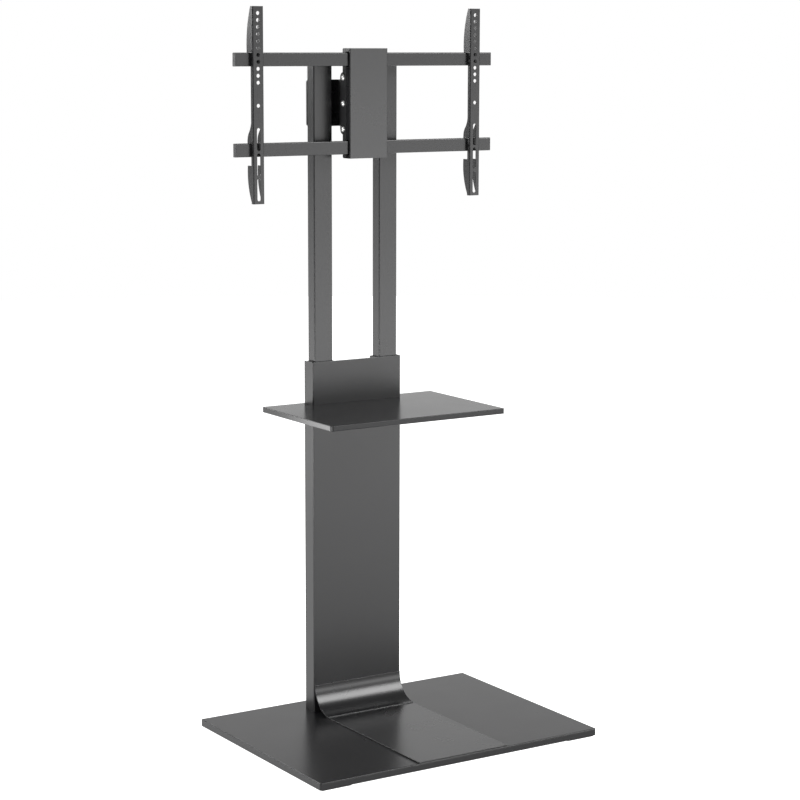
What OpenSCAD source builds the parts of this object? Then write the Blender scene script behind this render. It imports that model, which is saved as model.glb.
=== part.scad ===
// Floor stand for a television. A wide steel base carries a folded column
// with a curved foot plate. Two uprights slide in the column and carry a
// hinge, a yoke that swivels on it, and a head that tilts in the yoke.
// Two rails on the head carry the two arms that bolt to the television.
// Lengths in millimetres, angles in degrees. X is to the right, Y to the
// back, Z up. It is drawn fully raised, with the head level and straight.

/* [Base] */
// Width of the base, left to right
base_w = 734; // [600:1:900]
// Depth of the base, front to back
base_d = 546; // [400:1:700]
// Height of the base without its pads
base_t = 16; // [10:1:30]
// Corner radius of the base
base_r = 4; // [1:1:20]
// Sheet thickness of the base
base_sheet = 3; // [2.5:0.5:5]
// Radius of the base's upper edges
base_bend = 2; // [0.5:0.5:2.4]
// Width of the lip folded under the base's rim
base_lip = 42; // [20:1:80]
// Height of the rubber pads under the base
pad_h = 2; // [1:0.5:8]
// Length of a rubber pad, left to right
pad_l = 75; // [30:1:120]
// Width of a rubber pad, front to back
pad_w = 30; // [15:1:60]
// Distance of a pad from the side of the base
pad_inset_x = 5; // [1:0.5:30]
// Distance of a pad from the front or back of the base
pad_inset_y = 1.5; // [0.5:0.5:30]

/* [Column] */
// Width of the folded column
col_w = 238; // [210:1:300]
// Distance of the column's back from the back of the base
col_inset = 58.5; // [40:0.5:150]
// Height of the column above the base
col_h = 829; // [600:1:1000]
// Sheet thickness of the column
col_sheet = 2; // [1.5:0.5:4]
// Outer bend radius of the column
col_bend = 2.5; // [1:0.5:6]
// Thickness of the plate inside the column's lower end
col_foot_t = 6; // [4:1:12]

/* [Foot plate] */
// Distance of the foot plate's side edges from the column's sides
foot_side = 2; // [0:0.5:20]
// Sheet thickness of the foot plate
foot_t = 3; // [2:0.5:6]
// Inner radius of the foot plate's upward curve
foot_r = 60; // [20:1:90]
// Share of its thickness by which the curved sheet's end stands above the flat one
foot_step_share = 0.6; // [0.3:0.1:0.8]
// Length of the flat sheet under the curved one
foot_lap = 10; // [5:1:20]
// Distance of the foot plate's front edge from the front of the base
foot_inset = 1; // [0:0.5:60]
// Straight edge of the foot plate above its curve
foot_rise = 1; // [0.5:0.5:30]

/* [Sleeves] */
// Wall thickness of a sleeve
sleeve_wall = 1.5; // [1:0.5:4]
// Corner radius of a sleeve
sleeve_r = 2; // [1:0.5:6]
// Distance of a sleeve's upper end below the column's upper end
sleeve_drop = 1; // [0:0.5:10]
// Height of the plastic bush in a sleeve's mouth
bush_h = 50; // [40:1:100]
// Thickness of a bush at an upright's sides
bush_side = 4.2; // [1:0.1:8]
// Thickness of a bush in front of and behind an upright
bush_face = 1.2; // [1:0.1:6]
// Depth of a bush below the sleeve's upper end
bush_drop = 0.5; // [0:0.5:10]

/* [Uprights] */
// Width of an upright tube
tube_w = 48; // [36:1:54]
// Depth of an upright tube
tube_d = 30; // [20:1:50]
// Wall thickness of an upright tube
tube_wall = 2; // [1:0.5:4]
// Corner radius of an upright tube
tube_r = 2.5; // [1:0.5:6]
// Length of an upright
tube_l = 891; // [600:1:1200]
// Length of an upright inside its sleeve when fully raised
tube_overlap = 206; // [120:1:400]
// Plate thickness of an upright's cap
cap_t = 3; // [1:0.5:6]
// Depth of a cap's plug inside the tube
cap_plug = 15; // [5:1:40]
// Wall thickness of the caps' plugs
plug_wall = 2; // [1:0.5:4]
// Height of the glide at an upright's lower end
glide_h = 40; // [20:1:80]
// Bottom thickness of a glide
glide_t = 5; // [2:1:12]

/* [Shelf] */
// Width of the shelf
shelf_w = 460; // [300:1:700]
// Depth of the shelf
shelf_d = 310; // [240:1:400]
// Thickness of the shelf
shelf_t = 12.5; // [8:0.5:25]
// Distance of the shelf's upper face below the column's upper end
shelf_drop = 98.5; // [60:0.5:400]
// Distance of the shelf's back edge behind the column
shelf_back = 3; // [0:0.5:20]
// Corner radius of the shelf
shelf_r = 6; // [2:1:30]
// Radius of the shelf's upper and lower edges
shelf_edge = 1.5; // [0.5:0.5:3]
// Width of the bracket under the shelf
bracket_w = 180; // [130:1:230]
// Reach of the bracket under the shelf
bracket_reach = 120; // [80:1:180]
// Height of the bracket's leg on the column
bracket_h = 38; // [30:1:60]
// Sheet thickness of the bracket
bracket_t = 3; // [2:0.5:5]

/* [Hinge] */
// Depth of the head's middle below the uprights' upper ends
head_drop = 96; // [80:1:200]
// Height of the plate behind the uprights
back_h = 105; // [60:1:160]
// Thickness of the plate behind the uprights
back_t = 4; // [2:0.5:8]
// Corner chamfer of the plate behind the uprights
back_chamfer = 4; // [1:0.5:12]
// Width of the hinge bracket
lug_w = 56; // [30:1:80]
// Thickness of the hinge bracket's web and lugs
lug_t = 6; // [3:0.5:10]
// Radius of a lug's rounded nose
lug_r = 15; // [13.5:0.5:24]
// Distance of the swivel axis in front of the uprights' back faces
hinge_reach = 25.5; // [22:0.5:32]
// Diameter of the swivel pin
pin_d = 12; // [8:0.5:18]
// Diameter of the swivel pin's head
pin_head_d = 22; // [12:0.5:30]
// Height of the swivel pin's head
pin_head_h = 5; // [2:0.5:10]
// Diameter of the swivel barrel
barrel_d = 26; // [20:0.5:28]
// Thickness of the nylon washers beside the barrel
washer_t = 1.5; // [0.5:0.5:4]

/* [Yoke] */
// Sheet thickness of the yoke
yoke_t = 3; // [2:0.5:5]
// Gap between the yoke's back plate and the pieces that pass it
yoke_gap = 1; // [0.5:0.1:3]
// Width of metal around the yoke's curved slots
yoke_margin = 4; // [2:0.5:8]
// Corner radius of the yoke's ears
yoke_r = 4; // [1:0.5:8]
// Width of the knuckle's web between yoke and barrel
web_w = 18; // [8:1:26]

/* [Head] */
// Width of the head and its front cover
head_w = 100; // [70:1:160]
// Height of the head above and below its rails
head_margin = 9.5; // [5:0.5:30]
// Wall thickness of the front cover
cover_t = 2; // [1:0.5:4]
// Edge radius of the front cover
cover_r = 2; // [0.5:0.5:6]
// Clearance of the cover's slots around the rails
cover_gap = 2; // [0.5:0.5:3]
// Gap between the front cover and the heads of the rail bolts
cover_room = 0.5; // [0.2:0.1:8]
// Distance of the seam between cover and frame in front of the tilt axis
seam_reach = 12.5; // [11:0.5:30]
// Depth of the head frame's side flanges
frame_d = 13.8; // [10:0.1:24]
// Sheet thickness of the head frame
frame_t = 3; // [2:0.5:5]
// Corner radius of the head frame's flanges
frame_r = 4; // [1:0.5:8]
// Distance of the tilt axis in front of the yoke's back face
tilt_reach = 14.5; // [12.5:0.5:24]
// Height of the head frame's webs beyond the rails, towards the middle
web_margin = 3.5; // [1:0.5:6]
// Radius of the head frame's ear ends
ear_r = 12; // [8:0.5:14]
// Distance of the outer tilt bolts from the tilt axis
tilt_r = 57.5; // [40:0.5:64]
// Largest tilt that the curved slots allow each way
tilt_slot = 8.5; // [4:0.5:10]

/* [Rails] */
// Length of a rail with its caps
rail_l = 676; // [640:1:900]
// Height of a rail
rail_h = 30; // [20:1:34]
// Depth of a rail
rail_d = 12; // [10:1:30]
// Wall thickness of a rail
rail_wall = 1.5; // [1:0.5:3]
// Corner radius of a rail
rail_r = 2; // [0.5:0.5:5]
// Distance of a rail's middle from the middle of the head
rail_z = 98.5; // [95:0.5:110]
// Plate thickness of a rail's end cap
rail_cap_t = 2; // [1:0.5:5]
// Distance of the rail bolts from the middle of the head
rail_bolt_x = 25; // [12:1:40]

/* [Arms] */
// Distance of an arm's middle from the middle of the stand
arm_x = 286.5; // [150:0.5:300]
// Width of an arm
arm_w = 27; // [20:1:50]
// Length of an arm
arm_h = 430; // [400:1:520]
// Sheet thickness of an arm
arm_t = 2; // [1.5:0.5:4]
// Bend radius of an arm
arm_bend = 2; // [1:0.5:4]
// Gap between an arm's flanges and the rails' front faces
arm_gap = 0.5; // [0.2:0.1:3]
// Depth of the arms' middle below the head's middle
arm_drop = 1.6; // [0:0.1:30]
// Depth of an arm's flanges between the hooks
arm_shallow = 10; // [6:0.5:20]
// Thickness of the upper hook behind the rail
hook_t = 5.2; // [2:0.1:20]
// Thickness of the lower hook behind the rail
low_hook_t = 4.2; // [2:0.1:20]
// Depth of an arm's flanges in the reliefs beside the rails
arm_notch = 3; // [2.5:0.5:5]
// Height of the relief above and below a rail notch
notch_relief = 4; // [1:0.5:6]
// Height of the lower hook's sloped shoulder
shoulder_h = 46; // [20:1:80]
// Length of the hooks behind the rails
hook_lip = 6; // [3:0.5:12]
// Radius of the upper hook's curved back
arm_top_r = 208; // [100:1:400]
// Height of the upper curve's deepest point above the upper rail
arm_top_rise = 15.6; // [0:0.1:40]
// Radius of the lower end's curved back
arm_low_r = 136; // [80:1:300]
// Depth of the lower curve's deepest point below the lower rail
arm_low_drop = 33.4; // [10:0.1:60]
// Depth of the lower end's upper corner below the lower rail
arm_step_drop = 19.4; // [8:0.1:40]
// Diameter of the arm's holes and width of its slots
hole_d = 8.5; // [6:0.5:11]
// Distance between the arm's holes
hole_pitch = 15; // [12:1:17]
// Number of holes in an arm's upper row
hole_count = 11; // [3:1:12]
// Distance of the uppermost hole from the arm's upper end
hole_margin = 15; // [8:0.5:40]
// Overall length of an arm's slot
slot_l = 50; // [20:1:53]
// Distance between the arm's slots
slot_pitch = 55; // [52:1:65]
// Number of slots in an arm
slot_count = 3; // [1:1:3]
// Distance of the lowest slot from the arm's lower end
slot_margin = 6.5; // [4:0.5:12]

/* [Fasteners] */
// Diameter of the larger bolts
bolt_d = 8; // [6:0.5:10]
// Diameter of the larger bolts' heads
bolt_head_d = 15; // [10:0.5:20]
// Height of the larger bolts' heads
bolt_head_h = 3.5; // [2:0.5:8]
// Diameter of the smaller bolts
screw_d = 6; // [4:0.5:8]
// Diameter of the smaller bolts' heads
screw_head_d = 12; // [8:0.5:16]
// Height of the smaller bolts' heads
screw_head_h = 3.5; // [2:0.5:6]
// Diameter of the washer under a small bolt's head
washer_d = 15; // [12:0.5:20]
// Thickness of the washer under a small bolt's head
small_washer_t = 1; // [0.5:0.5:2]
// Width across flats of the larger bolts' sockets
socket_w = 5; // [3:0.5:8]
// Width across flats of the smaller bolts' sockets
small_socket_w = 4; // [2:0.5:6]
// Depth of the sockets in the bolts' heads
socket_depth = 2; // [1:0.5:3]
// Width of the larger nuts across flats
nut_w = 13; // [10:0.5:17]
// Height of the larger nuts
nut_h = 5; // [3:0.5:8]
// Width of the smaller nuts across flats
small_nut_w = 10; // [8:0.5:13]
// Height of the smaller nuts
small_nut_h = 4; // [3:0.5:6]
// Outer diameter of a boss welded round a bolt or screw
boss_d = 16; // [12:0.5:24]
// Height of a welded boss
boss_h = 5; // [3:0.5:10]
// Gap between the bracket's bosses and the sleeves
boss_gap = 4; // [1:0.5:20]
// Distance between the bolts under the column
base_bolt_pitch = 60; // [40:1:64]
// Distance of the foot plate's screws from its edges
foot_screw_inset = 24; // [10:1:50]
// Distance of the shelf screws from the bracket's edges
shelf_screw_inset = 20; // [10:1:40]
// Depth of the shelf screws in the shelf
shelf_screw_depth = 8; // [4:0.5:10]
// Diameter of a height knob
knob_d = 34; // [20:1:60]
// Thickness of a height knob
knob_h = 16; // [8:1:30]
// Diameter of a finger hollow in a height knob
hollow_d = 10; // [4:0.5:14]
// Number of finger hollows in a height knob
knob_lobes = 6; // [4:1:10]
// Depth of a height knob's middle below the sleeve's upper end
knob_drop = 26; // [20:1:30]

/* [Fits] */
// Gap between pieces that move on each other
run_gap = 0.3; // [0.2:0.05:0.6]
// Radial gap of a pin in its bore
pin_gap = 0.1; // [0.05:0.05:0.2]
// Radial gap of a bolt in its hole
hole_gap = 0.2; // [0.1:0.05:0.5]
// Gap of the mitres between the strips of the base's rim
mitre_gap = 0.1; // [0.05:0.05:0.3]
// Gap between the shelf's notch and the column
shelf_gap = 0.5; // [0.2:0.1:0.9]

/* [Hidden] */
$fn = 48;
paint = "#434446";
dark_paint = "#2b2c2e";
plastic = "#1c1c1e";
rubber = "#161616";
zinc = "#8c8e91";

// Straight steps in the round ends and along half of a curved slot
arc_steps = 6;
// Overrun of every cut past the face that it opens
cut = 0.5;
// Place of the bracket's bolts, as a share of its leg's height
bracket_bolt_share = 0.45;
// Outline of the lower hook's shoulder: depth and height
shoulder_shares = [[1, 0.12], [0.91, 0.3], [0.7, 0.45], [0.35, 0.62], [0.12, 0.8]];

base_top = pad_h + base_t;
col_top = base_top + col_h;
sleeve_w = tube_w + 2 * (run_gap + bush_side + sleeve_wall);
sleeve_d = tube_d + 2 * (run_gap + bush_face + sleeve_wall);
col_d = col_sheet + sleeve_d;
col_back = base_d / 2 - col_inset;
col_y = col_back - col_d;
foot_w = col_w - 2 * foot_side;
sleeve_y = col_y + col_sheet;
sleeve_mid = sleeve_y + sleeve_d / 2;
sleeve_x = col_w / 2 - col_sheet - sleeve_w / 2;
sleeve_low = base_top + col_foot_t;
sleeve_top = col_top - sleeve_drop;
bush_w = sleeve_w - 2 * sleeve_wall;
bush_d = sleeve_d - 2 * sleeve_wall;
bush_r = max(sleeve_r - sleeve_wall, sleeve_wall / 4);
bush_low = sleeve_top - bush_drop - bush_h;
knob_z = sleeve_top - knob_drop;
tube_low = sleeve_top - tube_overlap;
tube_top = tube_low + tube_l;
tube_back = sleeve_mid + tube_d / 2;
shelf_low = col_top - shelf_drop - shelf_t;
shelf_y = col_back + shelf_back - shelf_d / 2;
bracket_low = shelf_low - bracket_h;
bracket_bolt_x = sleeve_x - sleeve_w / 2 - boss_d / 2 - boss_gap;
bracket_bolt_z = bracket_low + bracket_h * bracket_bolt_share;
head_z = tube_top - head_drop;
back_w = 2 * sleeve_x + tube_w;
back_low = head_z - back_h / 2;
barrel_h = back_h - 2 * lug_t - 2 * washer_t - 2 * run_gap;
hinge_y = tube_back - hinge_reach;
yoke_back = hinge_y - lug_r - yoke_gap;
tilt_y = yoke_back - tilt_reach;
frame_in = head_w / 2 - frame_t;
yoke_out = frame_in - run_gap;
slot_w = screw_d + 2 * run_gap;
yoke_h = 2 * (tilt_r * cos(tilt_slot) - small_nut_w / sqrt(3) - yoke_gap);
seam_y = tilt_y - seam_reach;
rail_front = seam_y - rail_d;
cover_y = rail_front - bolt_head_h - cover_room - cover_t;
head_h = 2 * rail_z + rail_h + 2 * head_margin;
arm_y = rail_front - arm_gap - arm_shallow;
arm_z = head_z - arm_drop;
hook_in = seam_y - arm_y + run_gap;
arm_deep = hook_in + hook_t;
arm_low_deep = hook_in + low_hook_t;
hook_z = arm_drop + rail_z + rail_h / 2 + run_gap;
low_hook_z = hook_z - 2 * rail_z;

// A rounded rectangle about the origin
module rounded(w, d, r) {
    square([w - 2 * r, d], center = true);
    square([w, d - 2 * r], center = true);
    for (x = [-1, 1], y = [-1, 1])
        translate([x * (w / 2 - r), y * (d / 2 - r)])
            circle(r);
}

// A rounded rectangular ring: the section of a tube
module ring(w, d, r, wall) {
    difference() {
        rounded(w, d, r);
        rounded(w - 2 * wall, d - 2 * wall, max(r - wall, wall / 4));
    }
}

// A rectangle with its front on the X axis and its front corners rounded
module front_rounded(w, d, r) {
    translate([-w / 2, r])
        square([w, d - r]);
    translate([r - w / 2, 0])
        square([w - 2 * r, d]);
    for (side = [-1, 1])
        translate([side * (w / 2 - r), r])
            circle(r);
}

// A rectangle on the X axis with its upper corners rounded
module top_rounded(w, h, r) {
    translate([0, h])
        mirror([0, 1])
            front_rounded(w, h, r);
}

// A folded channel's section, open to the back, its front on the X axis
module channel(w, d, sheet, bend) {
    difference() {
        front_rounded(w, d, bend);
        translate([sheet - w / 2, sheet])
            square([w - 2 * sheet, d]);
    }
}

// An upright slot, by its overall length and its width
module slot(length, width) {
    square([width, length - width], center = true);
    for (side = [-1, 1])
        translate([0, side * (length - width) / 2])
            circle(width / 2);
}

// Turns an outline in Y and Z into a plate across X, about the middle
module across(width) {
    rotate([90, 0, 90])
        linear_extrude(width, center = true)
            children();
}

// Turns an outline in X and Z into a plate that starts at y
module upright_plate(y, thickness) {
    translate([0, y + thickness, 0])
        rotate([90, 0, 0])
            linear_extrude(thickness)
                children();
}

// A round bar along Y from y, used for bolts and for their holes
module bar_y(x, y, z, d, length) {
    translate([x, y, z])
        rotate([-90, 0, 0])
            cylinder(h = length, d = d);
}

// A button head on the origin, its dome up, with a hexagon socket
module button(d, h, socket) {
    dome_r = (h * h + d * d / 4) / (2 * h);
    difference() {
        intersection() {
            cylinder(h = h, d = d);
            translate([0, 0, h - dome_r])
                sphere(dome_r);
        }
        translate([0, 0, h - socket_depth])
            cylinder(h = h, d = socket / cos(30), $fn = 6);
    }
}

// A button bolt along the Z axis: its seat on the origin, its shank down
module bolt(d, head_d, head_h, socket, length) {
    button(head_d, head_h, socket);
    translate([0, 0, -length])
        cylinder(h = length, d = d);
}

// A hexagon nut that stands on the origin
module nut(width, h, d) {
    difference() {
        cylinder(h = h, d = width / cos(30), $fn = 6);
        translate([0, 0, -cut])
            cylinder(h = h + 2 * cut, d = d + 2 * pin_gap);
    }
}

// The places of the bolts that hold the column from below
module at_base_bolts() {
    for (i = [-3, -1, 1, 3])
        translate([i * base_bolt_pitch / 2, sleeve_mid, 0])
            children();
}

// The places of the screws that hold the foot plate from below
module at_foot_screws() {
    for (x = [-1, 1], y = [foot_screw_inset - base_d / 2, col_y - foot_t - foot_r - foot_screw_inset])
        translate([x * (foot_w / 2 - foot_screw_inset), y, 0])
            children();
}

// The places of the screws that hold the shelf from below
module at_shelf_screws() {
    for (x = [-1, 1], y = [bracket_t + shelf_screw_inset, bracket_reach - shelf_screw_inset])
        translate([x * (bracket_w / 2 - shelf_screw_inset), col_y - y, 0])
            children();
}

// The base's upper sheet, its edges turned down round the rim
module base_top() {
    color(paint)
        translate([0, 0, base_top - base_sheet])
            difference() {
                intersection() {
                    linear_extrude(base_sheet)
                        rounded(base_w, base_d, base_r);
                    across(base_w)
                        top_rounded(base_d, base_sheet, base_bend);
                    rotate(90)
                        across(base_d)
                            top_rounded(base_w, base_sheet, base_bend);
                }
                translate([0, 0, -cut]) {
                    at_base_bolts()
                        cylinder(h = base_sheet + 2 * cut, d = bolt_d + 2 * hole_gap);
                    at_foot_screws()
                        cylinder(h = base_sheet + 2 * cut, d = screw_d + 2 * hole_gap);
                }
            }
}

// Four folded strips under the upper sheet, mitred and welded at the corners
module base_rim() {
    half_w = base_w / 2;
    half_d = base_d / 2;
    low_w = half_w - base_lip;
    low_d = half_d - base_lip;
    color(paint)
        for (turn = [0, 180])
            rotate(turn) {
                base_strip([
                    [mitre_gap - half_w, -half_d], [half_w - mitre_gap, -half_d],
                    [low_w - mitre_gap, -low_d], [mitre_gap - low_w, -low_d]
                ]);
                base_strip([[half_w, -half_d], [half_w, half_d], [low_w, low_d], [low_w, -low_d]]);
            }
}

// One strip of the rim, cut from the whole rim by its mitred outline
module base_strip(outline) {
    translate([0, 0, pad_h])
        difference() {
            linear_extrude(base_t - base_sheet)
                intersection() {
                    rounded(base_w, base_d, base_r);
                    polygon(outline);
                }
            translate([0, 0, base_sheet])
                linear_extrude(base_t)
                    square([base_w - 2 * base_sheet, base_d - 2 * base_sheet], center = true);
        }
}

module base_pads() {
    pad_x = (base_w - pad_l) / 2 - pad_inset_x;
    pad_y = (base_d - pad_w) / 2 - pad_inset_y;
    color(rubber)
        for (x = [-pad_x, pad_x], y = [-pad_y, pad_y])
            translate([x, y, 0])
                linear_extrude(pad_h)
                    rounded(pad_l, pad_w, base_r);
}

// A flat sheet on the base, and the curved one that is welded over its end and
// runs up against the column
module foot_plate() {
    curve_y = col_y - foot_t - foot_r;
    curve_low = base_top + foot_t * foot_step_share;
    curve_z = curve_low + foot_t + foot_r;
    flat_y = foot_inset - base_d / 2;
    color(paint)
        difference() {
            across(foot_w) {
                translate([flat_y, base_top])
                    square([curve_y + foot_lap - flat_y, foot_t]);
                intersection() {
                    translate([curve_y, curve_z])
                        difference() {
                            circle(foot_r + foot_t);
                            circle(foot_r);
                        }
                    translate([curve_y, curve_low])
                        square([foot_r + foot_t, foot_r + foot_t]);
                }
                translate([col_y - foot_t, curve_z])
                    square([foot_t, foot_rise]);
            }
            at_foot_screws()
                translate([0, 0, base_top - cut])
                    cylinder(h = foot_t * 2 / 3 + cut, d = screw_d + 2 * hole_gap);
        }
}

// The column: a folded sheet with two welded bosses for the shelf bracket
module column() {
    color(paint)
        difference() {
            union() {
                translate([0, col_y, base_top])
                    linear_extrude(col_h)
                        channel(col_w, col_d, col_sheet, col_bend);
                for (x = [-1, 1])
                    bar_y(x * bracket_bolt_x, col_y + col_sheet / 2, bracket_bolt_z, boss_d, boss_h);
            }
            for (x = [-1, 1])
                bar_y(x * bracket_bolt_x, col_y - cut, bracket_bolt_z, screw_d + 2 * pin_gap, col_d);
        }
}

module column_foot() {
    color(paint)
        difference() {
            translate([0, sleeve_mid, base_top])
                linear_extrude(col_foot_t)
                    square([col_w - 2 * col_sheet, sleeve_d], center = true);
            at_base_bolts()
                translate([0, 0, base_top - cut])
                    cylinder(h = col_foot_t + 2 * cut, d = bolt_d + 2 * pin_gap);
        }
}

// A rectangular tube in the column, with a boss for its knob at the back
module sleeve(side) {
    color(dark_paint)
        difference() {
            union() {
                translate([side * sleeve_x, sleeve_mid, sleeve_low])
                    linear_extrude(sleeve_top - sleeve_low)
                        ring(sleeve_w, sleeve_d, sleeve_r, sleeve_wall);
                bar_y(side * sleeve_x, col_back - sleeve_wall / 2, knob_z, boss_d, boss_h + sleeve_wall / 2);
            }
            bar_y(side * sleeve_x, sleeve_mid, knob_z, bolt_d + 2 * pin_gap, 2 * sleeve_d);
        }
}

module left_sleeve() {
    sleeve(-1);
}

module right_sleeve() {
    sleeve(1);
}

module sleeve_bushes() {
    color(plastic)
        for (side = [-1, 1])
            difference() {
                translate([side * sleeve_x, sleeve_mid, bush_low])
                    linear_extrude(bush_h)
                        difference() {
                            rounded(bush_w, bush_d, bush_r);
                            rounded(tube_w + 2 * run_gap, tube_d + 2 * run_gap, tube_r + run_gap);
                        }
                bar_y(side * sleeve_x, sleeve_mid, knob_z, bolt_d + 2 * hole_gap, sleeve_d);
            }
}

// Knobs whose screws press on the uprights and hold their height
module height_knobs() {
    color(plastic)
        for (side = [-1, 1]) {
            bar_y(side * sleeve_x, tube_back + run_gap, knob_z, bolt_d, col_back + boss_h - tube_back);
            upright_plate(col_back + boss_h, knob_h)
                translate([side * sleeve_x, knob_z])
                    difference() {
                        circle(d = knob_d);
                        for (i = [1:knob_lobes])
                            rotate(i * 360 / knob_lobes)
                                translate([(knob_d + hollow_d / 2) / 2, 0])
                                    circle(d = hollow_d);
                    }
        }
}

module base_bolts() {
    color(zinc)
        at_base_bolts()
            translate([0, 0, base_top - base_sheet])
                mirror([0, 0, 1])
                    bolt(bolt_d, bolt_head_d, bolt_head_h, socket_w, base_sheet + col_foot_t);
}

module foot_screws() {
    color(zinc)
        at_foot_screws()
            translate([0, 0, base_top - base_sheet])
                mirror([0, 0, 1])
                    bolt(screw_d, screw_head_d, screw_head_h, small_socket_w, base_sheet + foot_t / 2);
}

// A lacquered board with a notch that takes the column
module shelf() {
    color(paint)
        difference() {
            translate([0, shelf_y, shelf_low])
                intersection() {
                    linear_extrude(shelf_t)
                        difference() {
                            rounded(shelf_w, shelf_d, shelf_r);
                            translate([-col_w / 2 - shelf_gap, col_y - shelf_gap - shelf_y])
                                square([col_w + 2 * shelf_gap, shelf_d]);
                        }
                    translate([0, 0, shelf_t / 2])
                        across(shelf_w)
                            rounded(shelf_d, shelf_t, shelf_edge);
                    translate([0, 0, shelf_t / 2])
                        rotate(90)
                            across(shelf_d)
                                rounded(shelf_w, shelf_t, shelf_edge);
                }
            at_shelf_screws()
                translate([0, 0, shelf_low - cut])
                    cylinder(h = shelf_screw_depth + 2 * cut, d = screw_d + 2 * pin_gap);
        }
}

module shelf_bracket() {
    color(paint)
        difference() {
            across(bracket_w) {
                translate([col_y - bracket_t, bracket_low])
                    square([bracket_t, bracket_h]);
                translate([col_y - bracket_reach, shelf_low - bracket_t])
                    square([bracket_reach, bracket_t]);
            }
            for (x = [-1, 1])
                bar_y(x * bracket_bolt_x, col_y - col_d, bracket_bolt_z, screw_d + 2 * hole_gap, 2 * col_d);
            at_shelf_screws()
                translate([0, 0, shelf_low - bracket_t - cut])
                    cylinder(h = bracket_t + 2 * cut, d = screw_d + 2 * hole_gap);
        }
}

module bracket_bolts() {
    color(zinc)
        for (x = [-1, 1])
            translate([x * bracket_bolt_x, col_y - bracket_t, bracket_bolt_z])
                rotate([90, 0, 0])
                    bolt(screw_d, screw_head_d, screw_head_h, small_socket_w, bracket_t + boss_h);
}

module shelf_screws() {
    color(zinc)
        at_shelf_screws()
            translate([0, 0, shelf_low - bracket_t])
                mirror([0, 0, 1])
                    bolt(screw_d, screw_head_d, screw_head_h, small_socket_w, bracket_t + shelf_screw_depth);
}

// A tube that slides in its sleeve, drilled at the back for the back plate
module upright(side) {
    color(paint)
        difference() {
            translate([side * sleeve_x, sleeve_mid, tube_low])
                linear_extrude(tube_l)
                    ring(tube_w, tube_d, tube_r, tube_wall);
            for (z = [-1, 1])
                bar_y(side * sleeve_x, sleeve_mid, head_z + z * back_h / 4, bolt_d + 2 * pin_gap, tube_d);
        }
}

module left_upright() {
    upright(-1);
}

module right_upright() {
    upright(1);
}

module upright_caps() {
    plug_w = tube_w - 2 * tube_wall - 2 * hole_gap;
    plug_d = tube_d - 2 * tube_wall - 2 * hole_gap;
    color(plastic)
        for (side = [-1, 1])
            translate([side * sleeve_x, sleeve_mid, tube_top]) {
                linear_extrude(cap_t)
                    rounded(tube_w, tube_d, tube_r);
                translate([0, 0, -cap_plug])
                    linear_extrude(cap_plug)
                        ring(plug_w, plug_d, plug_wall, plug_wall);
            }
}

// Plastic shoes on the uprights' lower ends, which run in the sleeves
module upright_glides() {
    color(plastic)
        for (side = [-1, 1])
            translate([side * sleeve_x, sleeve_mid, tube_low - glide_t])
                difference() {
                    linear_extrude(glide_h)
                        rounded(bush_w - 2 * run_gap, bush_d - 2 * run_gap, bush_r);
                    translate([0, 0, glide_t])
                        linear_extrude(glide_h)
                            rounded(tube_w, tube_d, tube_r);
                }
}

// The plate that ties the two uprights together behind
module back_plate() {
    half = back_w / 2;
    color(paint)
        difference() {
            upright_plate(tube_back, back_t)
                translate([0, head_z])
                    intersection() {
                        square([back_w, back_h], center = true);
                        rotate(45)
                            square((half + back_h / 2 - back_chamfer) * sqrt(2), center = true);
                    }
            for (x = [-1, 1], z = [-1, 1])
                bar_y(x * sleeve_x, sleeve_mid, head_z + z * back_h / 4, bolt_d + 2 * hole_gap, tube_d);
        }
}

module back_bolts() {
    color(zinc)
        for (x = [-1, 1], z = [-1, 1])
            translate([x * sleeve_x, tube_back + back_t, head_z + z * back_h / 4])
                rotate([-90, 0, 0])
                    bolt(bolt_d, bolt_head_d, bolt_head_h, socket_w, back_t + tube_wall + nut_h);
}

// A heavy C on the back plate: a web and two lugs that hold the pin
module hinge_bracket() {
    color(dark_paint)
        difference() {
            union() {
                translate([-lug_w / 2, tube_back - lug_t, back_low])
                    cube([lug_w, lug_t, back_h]);
                for (z = [back_low, back_low + back_h - lug_t])
                    translate([0, 0, z])
                        linear_extrude(lug_t) {
                            translate([0, hinge_y])
                                circle(lug_r);
                            polygon([
                                [-lug_w / 2, tube_back], [-lug_w / 2, tube_back - lug_t], [-lug_r, hinge_y],
                                [lug_r, hinge_y], [lug_w / 2, tube_back - lug_t], [lug_w / 2, tube_back]
                            ]);
                        }
            }
            translate([0, hinge_y, back_low - cut])
                cylinder(h = back_h + 2 * cut, d = pin_d + 2 * pin_gap);
        }
}

module swivel_pin() {
    color(zinc)
        translate([0, hinge_y, back_low]) {
            cylinder(h = back_h, d = pin_d);
            for (z = [-pin_head_h, back_h])
                translate([0, 0, z])
                    cylinder(h = pin_head_h, d = pin_head_d);
        }
}

// A U of sheet steel: two ears with curved slots, joined at the back
module yoke() {
    slot_reach = tilt_r * sin(tilt_slot);
    ear_h = tilt_r + slot_w / 2 + yoke_margin;
    ear_y = tilt_y - slot_reach - slot_w / 2 - yoke_margin;
    color(dark_paint) {
        translate([-yoke_out, yoke_back - yoke_t, head_z - yoke_h / 2])
            cube([2 * yoke_out, yoke_t, yoke_h]);
        for (side = [-1, 1])
            translate([side * (yoke_out - yoke_t / 2), 0, head_z])
                across(yoke_t)
                    difference() {
                        translate([(ear_y + yoke_back) / 2, 0])
                            rounded(yoke_back - ear_y, 2 * ear_h, yoke_r);
                        translate([tilt_y, 0]) {
                            circle(d = bolt_d + 2 * pin_gap);
                            for (turn = [0, 180])
                                rotate(turn)
                                    tilt_arc();
                        }
                    }
    }
}

// A point at a distance and an angle from the tilt axis
function on_arc(r, angle) = [-r * sin(angle), r * cos(angle)];

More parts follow.
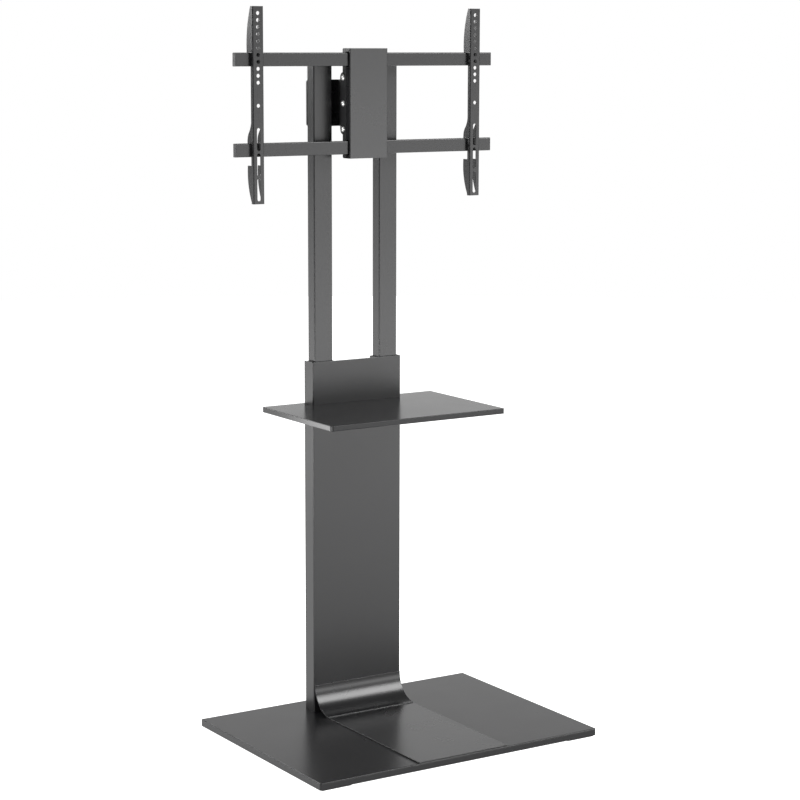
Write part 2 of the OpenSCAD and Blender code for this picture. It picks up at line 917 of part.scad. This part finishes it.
// The round end of the curved slot, at an angle, turning from that of start
function slot_end(angle, start) = [
    for (i = [1:arc_steps - 1])
        on_arc(tilt_r, angle) + on_arc(slot_w / 2, start + i * 180 / arc_steps)
];

// The curved slot above the tilt axis, about that axis
module tilt_arc() {
    polygon(concat(
        [for (i = [-arc_steps:arc_steps]) on_arc(tilt_r + slot_w / 2, i * tilt_slot / arc_steps)],
        slot_end(tilt_slot, tilt_slot),
        [for (i = [-arc_steps:arc_steps]) on_arc(tilt_r - slot_w / 2, -i * tilt_slot / arc_steps)],
        slot_end(-tilt_slot, 180 - tilt_slot)
    ));
}

// The swivel's barrel and the web that joins it to the yoke
module swivel_barrel() {
    color(dark_paint)
        translate([0, hinge_y, head_z - barrel_h / 2])
            difference() {
                union() {
                    cylinder(h = barrel_h, d = barrel_d);
                    translate([-web_w / 2, yoke_back - hinge_y, 0])
                        cube([web_w, hinge_y - yoke_back, barrel_h]);
                }
                translate([0, 0, -cut])
                    cylinder(h = barrel_h + 2 * cut, d = pin_d + 2 * pin_gap);
            }
}

module swivel_washers() {
    color(plastic)
        for (z = [-barrel_h / 2 - washer_t, barrel_h / 2])
            translate([0, hinge_y, head_z + z])
                difference() {
                    cylinder(h = washer_t, d = barrel_d);
                    translate([0, 0, -cut])
                        cylinder(h = washer_t + 2 * cut, d = pin_d + 2 * pin_gap);
                }
}

// A folded frame: two flanges with ears, and a web above and below
module head_frame() {
    flange_y = seam_y + frame_d / 2;
    window_h = rail_z - rail_h / 2 - web_margin;
    web_h = head_h / 2 - window_h;
    color(dark_paint)
        difference() {
            union() {
                for (side = [-1, 1])
                    translate([side * (head_w - frame_t) / 2, 0, head_z])
                        across(frame_t) {
                            translate([flange_y, 0])
                                rounded(frame_d, head_h, frame_r);
                            translate([seam_y, -head_h / 2])
                                square([frame_r, head_h]);
                            translate([seam_y, -tilt_r])
                                square([tilt_y + ear_r - seam_y, 2 * tilt_r]);
                            for (z = [-1, 1])
                                translate([tilt_y, z * tilt_r])
                                    circle(ear_r);
                        }
                for (z = [-head_h / 2, window_h])
                    translate([-frame_in - frame_t / 2, seam_y, head_z + z])
                        cube([2 * frame_in + frame_t, frame_t, web_h]);
            }
            across_holes(bolt_d + 2 * pin_gap, 0);
            for (z = [-1, 1])
                across_holes(screw_d + 2 * pin_gap, z * tilt_r);
            at_rail_bolts()
                bar_y(0, seam_y - cut, 0, bolt_d + 2 * hole_gap, frame_t + 2 * cut);
        }
}

// A hole along X through both flanges, at a height above the tilt axis
module across_holes(d, z) {
    translate([0, tilt_y, head_z + z])
        rotate([0, 90, 0])
            cylinder(h = head_w + 2 * cut, d = d, center = true);
}

// The places of the bolts that hold the rails, two on each
module at_rail_bolts() {
    for (x = [-1, 1], z = [-1, 1])
        translate([x * rail_bolt_x, 0, head_z + z * rail_z])
            children();
}

// A smooth shell over the head, notched at the back for the rails
module front_cover() {
    depth = seam_y - cover_y;
    slot_y = rail_front - cover_gap;
    slot_h = rail_h + 2 * cover_gap;
    color(paint)
        difference() {
            translate([0, cover_y, head_z - head_h / 2])
                linear_extrude(head_h)
                    front_rounded(head_w, depth, cover_r);
            translate([cover_t - head_w / 2, cover_y + cover_t, head_z - head_h / 2 + cover_t])
                cube([head_w - 2 * cover_t, depth, head_h - 2 * cover_t]);
            for (z = [-1, 1])
                translate([-head_w / 2 - cut, slot_y, head_z + z * rail_z - slot_h / 2])
                    cube([head_w + 2 * cut, seam_y - slot_y + cut, slot_h]);
        }
}

module rail(z) {
    color(paint)
        difference() {
            translate([0, seam_y - rail_d / 2, head_z + z])
                across(rail_l - 2 * rail_cap_t)
                    ring(rail_d, rail_h, rail_r, rail_wall);
            at_rail_bolts()
                bar_y(0, rail_front - cut, 0, bolt_d + 2 * hole_gap, rail_d + 2 * cut);
        }
}

module top_rail() {
    rail(rail_z);
}

module bottom_rail() {
    rail(-rail_z);
}

module rail_caps() {
    plug_d = rail_d - 2 * rail_wall - 2 * hole_gap;
    plug_h = rail_h - 2 * rail_wall - 2 * hole_gap;
    color(plastic)
        for (side = [-1, 1], z = [-1, 1])
            translate([side * (rail_l - rail_cap_t) / 2, seam_y - rail_d / 2, head_z + z * rail_z]) {
                across(rail_cap_t)
                    rounded(rail_d, rail_h, rail_r);
                translate([-side * (rail_cap_t + rail_d) / 2, 0, 0])
                    across(rail_d)
                        rounded(plug_d, plug_h, rail_r / 2);
            }
}

module rail_bolts() {
    length = rail_d + frame_t + nut_h + bolt_head_h / 2;
    color(zinc)
        at_rail_bolts()
            translate([0, rail_front, 0])
                rotate([90, 0, 0])
                    bolt(bolt_d, bolt_head_d, bolt_head_h, socket_w, length);
}

module rail_nuts() {
    color(zinc)
        at_rail_bolts()
            translate([0, seam_y + frame_t, 0])
                rotate([-90, 0, 0])
                    nut(nut_w, nut_h, bolt_d);
}

// A bolt or nut along X on the tilt axis or on a slot, seen from outside
module at_tilt(side, z) {
    translate([side * head_w / 2, tilt_y, head_z + z])
        rotate([0, side * 90, 0])
            children();
}

module tilt_pivots() {
    length = frame_t + 2 * run_gap + yoke_t + nut_h + small_washer_t;
    color(zinc)
        for (side = [-1, 1])
            at_tilt(side, 0) {
                cylinder(h = small_washer_t, d = washer_d);
                translate([0, 0, small_washer_t])
                    bolt(bolt_d, screw_head_d, screw_head_h, small_socket_w, length);
            }
}

module tilt_bolts() {
    length = frame_t + 2 * run_gap + yoke_t + small_nut_h + small_washer_t;
    color(zinc)
        for (side = [-1, 1], z = [-tilt_r, tilt_r])
            at_tilt(side, z) {
                cylinder(h = small_washer_t, d = washer_d);
                translate([0, 0, small_washer_t])
                    bolt(screw_d, screw_head_d, screw_head_h, small_socket_w, length);
            }
}

module tilt_nuts() {
    seat = frame_t + 2 * run_gap + yoke_t;
    color(zinc)
        for (side = [-1, 1]) {
            at_tilt(side, 0)
                translate([0, 0, -seat - nut_h])
                    nut(nut_w, nut_h, bolt_d);
            for (z = [-tilt_r, tilt_r])
                at_tilt(side, z)
                    translate([0, 0, -seat - small_nut_h])
                        nut(small_nut_w, small_nut_h, screw_d);
        }
}

// The cut in an arm's flanges for a rail, below the hook at height z
module rail_notch(z) {
    polygon([
        [arm_notch, z - rail_h + notch_relief], [arm_shallow, z - rail_h], [hook_in, z - rail_h],
        [hook_in, z], [arm_notch + notch_relief, z], [arm_notch, z + notch_relief]
    ]);
}

// The outline of an arm's flanges: depth from the front, and height
module arm_outline() {
    half = arm_h / 2;
    extra = arm_low_deep - arm_shallow;
    inner = arm_shallow - cut;
    low_rail = low_hook_z - rail_h;
    difference() {
        union() {
            translate([0, -half])
                square([arm_shallow, arm_h]);
            arm_end(arm_deep, hook_z - hook_lip, half, arm_top_r, hook_z + arm_top_rise);
            arm_end(arm_low_deep, -half, low_rail - arm_step_drop, arm_low_r, low_rail - arm_low_drop);
            polygon(concat(
                [[inner, low_hook_z - hook_lip], [arm_low_deep, low_hook_z - hook_lip]],
                [for (p = shoulder_shares) [arm_shallow + p[0] * extra, low_hook_z + p[1] * shoulder_h]],
                [[inner, low_hook_z + shoulder_h]]
            ));
        }
        rail_notch(hook_z);
        rail_notch(low_hook_z);
    }
}

// A deep stretch of the flanges between two heights, with a curved end
module arm_end(deep, low, high, r, z) {
    intersection() {
        translate([arm_notch + cut, low])
            square([deep, high - low]);
        translate([deep - r, z])
            circle(r);
    }
}

// An arm: a folded channel that hooks over both rails
module arm(side) {
    color(paint)
        translate([side * arm_x, arm_y, arm_z])
            difference() {
                intersection() {
                    translate([0, 0, -arm_h / 2])
                        linear_extrude(arm_h)
                            channel(arm_w, arm_deep, arm_t, arm_bend);
                    across(arm_w)
                        arm_outline();
                }
                for (i = [0:hole_count - 1])
                    bar_y(0, -cut, arm_h / 2 - hole_margin - i * hole_pitch, hole_d, arm_t + 2 * cut);
                bar_y(0, -cut, 0, hole_d, arm_t + 2 * cut);
                for (i = [0:slot_count - 1])
                    upright_plate(-cut, arm_t + 2 * cut)
                        translate([0, slot_margin + slot_l / 2 + i * slot_pitch - arm_h / 2])
                            slot(slot_l, hole_d);
            }
}

module left_arm() {
    arm(-1);
}

module right_arm() {
    arm(1);
}

base_top();
base_rim();
base_pads();
foot_plate();
column();
column_foot();
left_sleeve();
right_sleeve();
sleeve_bushes();
height_knobs();
base_bolts();
foot_screws();
shelf();
shelf_bracket();
bracket_bolts();
shelf_screws();
left_upright();
right_upright();
upright_caps();
upright_glides();
back_plate();
back_bolts();
hinge_bracket();
swivel_pin();
yoke();
swivel_barrel();
swivel_washers();
head_frame();
front_cover();
top_rail();
bottom_rail();
rail_caps();
rail_bolts();
rail_nuts();
tilt_pivots();
tilt_bolts();
tilt_nuts();
left_arm();
right_arm();
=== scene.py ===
import math

import bmesh
import bpy
from mathutils import Euler, Matrix, Vector

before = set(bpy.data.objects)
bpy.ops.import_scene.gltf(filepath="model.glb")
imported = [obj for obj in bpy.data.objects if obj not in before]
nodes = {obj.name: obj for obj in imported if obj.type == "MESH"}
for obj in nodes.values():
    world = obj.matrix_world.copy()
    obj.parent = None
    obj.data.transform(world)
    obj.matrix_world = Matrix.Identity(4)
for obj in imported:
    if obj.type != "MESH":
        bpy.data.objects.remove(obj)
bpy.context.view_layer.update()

scene = bpy.context.scene

# The view: a long lens that stands at the front left, as high as the head
# of the stand, and looks a little down on it.
view_place = Vector((-2.68765, -4.21891, 1.57117))
view_turn = math.radians(-32.55)
view_pitch = math.radians(-9.05)
view_roll = math.radians(0.13)
film_width = 36
lens_share = 2245.37 / 800
view_depth = 100

camera = bpy.data.objects.new("camera", bpy.data.cameras.new("camera"))
camera.data.sensor_width = film_width
camera.data.lens = film_width * lens_share
camera.data.clip_end = view_depth
turned = Euler((math.radians(90) + view_pitch, 0, view_turn), "XYZ").to_matrix()
turned = turned @ Matrix.Rotation(view_roll, 3, "Z")
camera.matrix_world = Matrix.Translation(view_place) @ turned.to_4x4()
scene.collection.objects.link(camera)
scene.camera = camera

# The surround: plain white where it is seen, and a soft light on the stand
# that is even round it, weaker overhead and dimmer towards the front left.
# Heights are the upward share of a direction, 0 level and 1 straight up.
white = (1, 1, 1, 1)
horizon_light = 0.4
horizon_height = 0.3
overhead_light = 0.32
overhead_height = 0.8
dark_side = (-0.84, -0.54, 0)
dark_share = 0.4
dark_rim = 0.6
dark_core = 0.9


def add_node(tree, kind, inputs, operation=None):
    """A new node whose inputs are set to values or linked to outputs."""
    node = tree.nodes.new("ShaderNode" + kind)
    if operation:
        node.operation = operation
    for key, given in inputs.items():
        if isinstance(given, bpy.types.NodeSocket):
            tree.links.new(given, node.inputs[key])
        else:
            node.inputs[key].default_value = given
    return node


def add_ramp(tree, value, start, stop, first, last):
    """A node that goes from first to last as value goes from start to stop."""
    return add_node(tree, "MapRange", {"Value": value, "From Min": start, "From Max": stop,
                                       "To Min": first, "To Max": last})


scene.view_settings.view_transform = "Standard"
surround = bpy.data.worlds.new("surround")
surround.use_nodes = True
air = surround.node_tree
direction = add_node(air, "TexCoord", {}).outputs["Generated"]
height = add_node(air, "SeparateXYZ", {0: direction}).outputs["Z"]
by_height = add_ramp(air, height, horizon_height, overhead_height, horizon_light, overhead_light)
towards_dark = add_node(air, "VectorMath", {0: direction, 1: dark_side}, "DOT_PRODUCT")
by_side = add_ramp(air, towards_dark.outputs["Value"], dark_rim, dark_core, 1, dark_share)
strength = add_node(air, "Math", {0: by_height.outputs[0], 1: by_side.outputs[0]}, "MULTIPLY")
lit = air.nodes["Background"]
lit.inputs["Color"].default_value = white
air.links.new(strength.outputs[0], lit.inputs["Strength"])
seen = add_node(air, "Background", {"Color": white})
is_seen = add_node(air, "LightPath", {}).outputs["Is Camera Ray"]
either = add_node(air, "MixShader", {0: is_seen, 1: lit.outputs[0], 2: seen.outputs[0]})
air.links.new(either.outputs[0], air.nodes["World Output"].inputs["Surface"])
scene.world = surround

# The floor: a round table of white opal glass that is lit from below, as
# under a product that is photographed on plain white.
floor_reach = 9.0
floor_sides = 96
opal_tone = 0.35
opal_roughness = 0.9
opal_light = 1.25
floor_form = bmesh.new()
bmesh.ops.create_circle(floor_form, cap_ends=True, segments=floor_sides, radius=floor_reach)
floor_mesh = bpy.data.meshes.new("floor")
floor_form.to_mesh(floor_mesh)
floor_form.free()
floor = bpy.data.objects.new("floor", floor_mesh)
scene.collection.objects.link(floor)
opal = bpy.data.materials.new("opal")
opal.use_nodes = True
opal_inputs = opal.node_tree.nodes["Principled BSDF"].inputs
opal_inputs["Base Color"].default_value = (opal_tone, opal_tone, opal_tone, 1)
opal_inputs["Roughness"].default_value = opal_roughness
opal_inputs["Emission Color"].default_value = white
opal_inputs["Emission Strength"].default_value = opal_light
floor_mesh.materials.append(opal)


# The soft boxes: a low and a far, high one at the front right for the upright
# faces, dim ones behind at both sides, the main one, whose light runs along
# the curved foot, and smaller ones for the rims, the shelf and the corners.
def soft_box(name, place, target, size, radiance):
    """A glowing panel at place that faces target and shows only by its light."""
    lamp = bpy.data.lights.new(name, "AREA")
    lamp.shape = "RECTANGLE"
    lamp.size, lamp.size_y = size
    lamp.energy = radiance * math.pi * lamp.size * lamp.size_y
    panel = bpy.data.objects.new(name, lamp)
    panel.location = place
    facing = Vector(target) - Vector(place)
    panel.rotation_euler = facing.to_track_quat("-Z", "Y").to_euler()
    panel.visible_camera = False
    scene.collection.objects.link(panel)


soft_box("low_front_box", place=(1.906, -2.835, 0.31), target=(0, 0.1, 0.31),
         size=(2.4, 0.58), radiance=2.45)
soft_box("high_front_box", place=(4.4, -6.75, 0.87), target=(0, 0.1, 0.87),
         size=(5.6, 1.64), radiance=2.75)
soft_box("right_back_box", place=(1.906, 3.035, 1.07), target=(0, 0.1, 1.07),
         size=(2.4, 1.06), radiance=0.8)
soft_box("left_back_box", place=(-1.855, 3.07, 0.55), target=(0, 0.1, 0.55),
         size=(2.4, 1.08), radiance=0.8)
soft_box("key_box", place=(3.86, -4.0, 4.3), target=(0, 0, 0.1),
         size=(3.0, 3.2), radiance=14.5)
soft_box("rim_box", place=(-1.15, 3.15, 2.1), target=(0, 0, 0.1),
         size=(1.4, 0.9), radiance=10.0)
soft_box("shelf_box", place=(-0.633, 0.44, 0.606), target=(-0.23, -0.235, 0.742),
         size=(0.3, 0.3), radiance=7.5)
soft_box("corner_box", place=(-2.1, -1.36, 0.28), target=(-0.12, 0.18, 0.8),
         size=(1.5, 0.44), radiance=17.0)
soft_box("side_box", place=(-1.86, 0.75, 2.33), target=(-0.12, -0.08, 0.05),
         size=(1.2, 1.0), radiance=9.0)

# The base: an upper steel sheet with rounded edges over a mitred rim of
# folded strips. It is powder coated in black with a satin sheen: fine
# grains, slow changes of sheen, and a coat that rounds every edge.
black = (0.006, 0.006, 0.0065)
satin = 0.27
base_edge = 0.0012
patches_per_metre = 11.0
patch_detail = 4.0
grain_detail = 2.0
least_noise = 0.25
most_noise = 0.75
edge_samples = 6


def make_coat():
    """The surface that all coated, plated and moulded pieces share."""
    group = bpy.data.node_groups.new("coat", "ShaderNodeTree")
    add_socket = group.interface.new_socket
    usual = {"Grain size": 0.0012, "Grain height": 0.0000015, "Edge radius": 0.0006,
             "Roughness": 0.3, "Sheen change": 0.008, "Colour change": 0.08}
    for label, value in usual.items():
        socket = add_socket(name=label, in_out="INPUT", socket_type="NodeSocketFloat")
        socket.default_value = value
    add_socket(name="Colour", in_out="INPUT", socket_type="NodeSocketColor")
    add_socket(name="Colour", in_out="OUTPUT", socket_type="NodeSocketColor")
    add_socket(name="Roughness", in_out="OUTPUT", socket_type="NodeSocketFloat")
    add_socket(name="Normal", in_out="OUTPUT", socket_type="NodeSocketVector")
    asked = group.nodes.new("NodeGroupInput").outputs
    result = group.nodes.new("NodeGroupOutput").inputs
    place = add_node(group, "TexCoord", {}).outputs["Object"]

    def noise(scale, detail):
        inputs = {"Vector": place, "Scale": scale, "Detail": detail}
        return add_node(group, "TexNoise", inputs).outputs["Fac"]

    def around(middle, change):
        """A value that sways round middle by change, with the slow patches."""
        less = add_node(group, "Math", {0: middle, 1: change}, "SUBTRACT").outputs[0]
        more = add_node(group, "Math", {0: middle, 1: change}, "ADD").outputs[0]
        sway = add_ramp(group, patches, least_noise, most_noise, less, more)
        sway.clamp = False
        return sway.outputs[0]

    patches = noise(patches_per_metre, patch_detail)
    grains_per_metre = add_node(group, "Math", {0: 1.0, 1: asked["Grain size"]}, "DIVIDE")
    grains = noise(grains_per_metre.outputs[0], grain_detail)
    rounded = add_node(group, "Bevel", {"Radius": asked["Edge radius"]})
    rounded.samples = edge_samples
    bump = add_node(group, "Bump", {"Distance": asked["Grain height"], "Height": grains,
                                    "Normal": rounded.outputs["Normal"]})
    shade = around(1.0, asked["Colour change"])
    tint = add_node(group, "VectorMath", {0: asked["Colour"], "Scale": shade}, "SCALE")
    sheen = around(asked["Roughness"], asked["Sheen change"])
    group.links.new(tint.outputs[0], result["Colour"])
    group.links.new(sheen, result["Roughness"])
    group.links.new(bump.outputs["Normal"], result["Normal"])
    return group


coat = make_coat()


def finish_of(name, colour, roughness, metallic=0.0, gloss=0.5, **surface):
    """A finish on the shared coat, with its own colour, sheen and grain."""
    finish = bpy.data.materials.new(name)
    finish.use_nodes = True
    tree = finish.node_tree
    shader = tree.nodes["Principled BSDF"].inputs
    shader["Metallic"].default_value = metallic
    shader["Specular IOR Level"].default_value = gloss
    layer = tree.nodes.new("ShaderNodeGroup")
    layer.node_tree = coat
    layer.inputs["Colour"].default_value = (*colour, 1)
    layer.inputs["Roughness"].default_value = roughness
    for label, value in surface.items():
        layer.inputs[label.replace("_", " ").capitalize()].default_value = value
    tree.links.new(layer.outputs["Colour"], shader["Base Color"])
    tree.links.new(layer.outputs["Roughness"], shader["Roughness"])
    tree.links.new(layer.outputs["Normal"], shader["Normal"])
    return finish


def dress(finish, *names):
    """Gives these solids the finish."""
    for name in names:
        slots = nodes[name].data.materials
        slots.clear()
        slots.append(finish)


base_coat = finish_of("base_coat", black, roughness=0.28, gloss=0.26, edge_radius=base_edge)
dress(base_coat, "base_top", "base_rim")

# The pads: black rubber, matt and a little dusty, glued under the corners.
rubber = finish_of("rubber", (0.012, 0.012, 0.012), roughness=0.8, grain_size=0.0012,
                   grain_height=0.00006, colour_change=0.4)
dress(rubber, "base_pads")

# The foot plate: a flat steel sheet as wide as the column, and a curved one
# that is welded over its end, coated with the base.
foot_edge = 0.0014
foot_coat = finish_of("foot_coat", black, satin, gloss=0.44, edge_radius=foot_edge)
dress(foot_coat, "foot_plate")

# The column: a folded steel channel, open behind, with the plate that bolts
# it to the base and the bracket that carries the shelf.
column_coat = finish_of("column_coat", black, roughness=0.34, edge_radius=0.002)
dress(column_coat, "column", "column_foot", "shelf_bracket")

# The sleeves: rectangular tubes welded inside the column, coated with it
# but duller, because they are sprayed through its open back.
sleeve_coat = finish_of("sleeve_coat", black, roughness=0.42)
dress(sleeve_coat, "left_sleeve", "right_sleeve")

# The bushes in the sleeves and the knobs behind them: black nylon, moulded
# with a fine spark-eroded grain.
nylon = finish_of("nylon", (0.013, 0.013, 0.014), roughness=0.46, grain_size=0.0005,
                  grain_height=0.00003)
dress(nylon, "sleeve_bushes", "height_knobs")

# The shelf: a pressed board, lacquered black on all sides in the sheen of
# the metal, with soft edges.
lacquer = finish_of("lacquer", black, roughness=0.24, gloss=0.22, edge_radius=0.001,
                    grain_size=0.0015, grain_height=0.0000015)
dress(lacquer, "shelf")

# The uprights: rectangular steel tubes with caps and glides of nylon, and
# the plate behind them that ties them together.
mast_coat = finish_of("mast_coat", black, satin)
dress(mast_coat, "left_upright", "right_upright", "back_plate")
dress(nylon, "upright_caps", "upright_glides")

# The hinge between mast and head: welded plate steel in a dull black coat, with nylon washers
# between the parts that turn. Its coat is darker than the other blacks as painted shade for the
# deep shade round the neck.
# Colour darker than black: painted shade standing in for the shade that the head casts on the
# hinge.
hinge_coat_painted_shade = finish_of("hinge_coat_painted_shade", (0.004, 0.004, 0.004), roughness=0.55, grain_size=0.001,
                       grain_height=0.00002)
dress(hinge_coat_painted_shade, "hinge_bracket", "yoke", "swivel_barrel")
dress(nylon, "swivel_washers")

# The head: a folded frame with ears for the tilt bolts, behind a front cover
# that is one deep-drawn sheet.
head_edge = 0.0008
head_coat = finish_of("head_coat", black, roughness=0.45, edge_radius=head_edge)
dress(head_coat, "head_frame")
cover_coat = finish_of("cover_coat", black, satin, gloss=0.64, edge_radius=head_edge)
dress(cover_coat, "front_cover")

# The rails: rectangular tubes through the head, with nylon caps.
rail_coat = finish_of("rail_coat", black, satin, gloss=0.48, edge_radius=head_edge)
dress(rail_coat, "top_rail", "bottom_rail")
dress(nylon, "rail_caps")

# The arms: folded and pierced channels that hook over the rails.
arm_coat = finish_of("arm_coat", black, satin, gloss=0.46, edge_radius=0.0005)
dress(arm_coat, "left_arm", "right_arm")

# Bolts, screws, nuts and the hinge pin: bright zinc plated steel.
zinc = finish_of("zinc", (0.55, 0.55, 0.54), roughness=0.32, metallic=1.0, edge_radius=0.0003,
                 grain_size=0.0004, grain_height=0.000006, sheen_change=0.1)
dress(zinc, "base_bolts", "foot_screws", "bracket_bolts", "shelf_screws", "back_bolts",
      "swivel_pin", "rail_bolts", "rail_nuts", "tilt_pivots", "tilt_bolts", "tilt_nuts")
